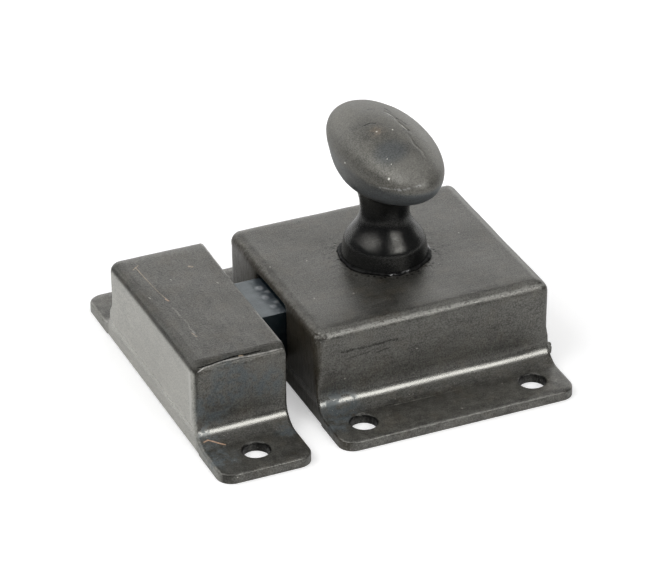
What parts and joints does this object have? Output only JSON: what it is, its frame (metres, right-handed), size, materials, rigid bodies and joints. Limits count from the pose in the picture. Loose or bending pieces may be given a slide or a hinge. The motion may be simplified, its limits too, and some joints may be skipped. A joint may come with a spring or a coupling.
{
  "type": "cabinet latch",
  "caption": "Surface-mounted cupboard latch of folded blackened steel: an oval turn knob draws back a sprung bolt that catches in a separate folded keep.",
  "frame": {"origin": "middle of the case's four screw holes, on the mounting plane", "axes": "+Z out of the door towards the knob, +X the way the bolt draws back, away from the keep, +Y across the bolt"},
  "size_m": [0.0605, 0.0584, 0.039],
  "materials": {
    "waxed_steel_case": "blackened mild steel sheet, satin beeswax finish with fine specks",
    "waxed_steel_keep": "blackened mild steel sheet, satin beeswax finish, scratched on top",
    "knob_casting": "cast iron, black wax, glossier on neck and foot",
    "bolt_steel": "blued steel bar, waxed",
    "plain_steel": "plain dark steel, as rolled",
    "spring_wire": "drawn spring wire"
  },
  "bodies": {
    "housing": {"case": "waxed_steel_case", "back_plate": "plain_steel", "keep": "waxed_steel_keep", "spring": "spring_wire"},
    "turn_knob": {"knob": "knob_casting", "spindle": "plain_steel", "crank_plate": "plain_steel", "crank_pin": "plain_steel", "spindle_washer": "plain_steel"},
    "slide_bolt": {"bolt": "bolt_steel"}
  },
  "joints": [
    {"name": "bolt_slide", "type": "slide", "parent": "housing", "child": "slide_bolt", "axis": [1, 0, 0], "range_m": [0, 0.007], "deforming": ["spring"]},
    {"name": "knob_turn", "type": "hinge", "parent": "housing", "child": "turn_knob", "pos_m": [0, 0.0008, 0.0155], "axis": [0, 0, -1], "range_deg": [0, 60], "stiffness_Nm_per_rad": 0.0402, "springref_deg": -42.86}
  ],
  "couplings": [
    {"joint": "knob_turn", "follows": "bolt_slide", "rad_per_m": 149.6}
  ]
}
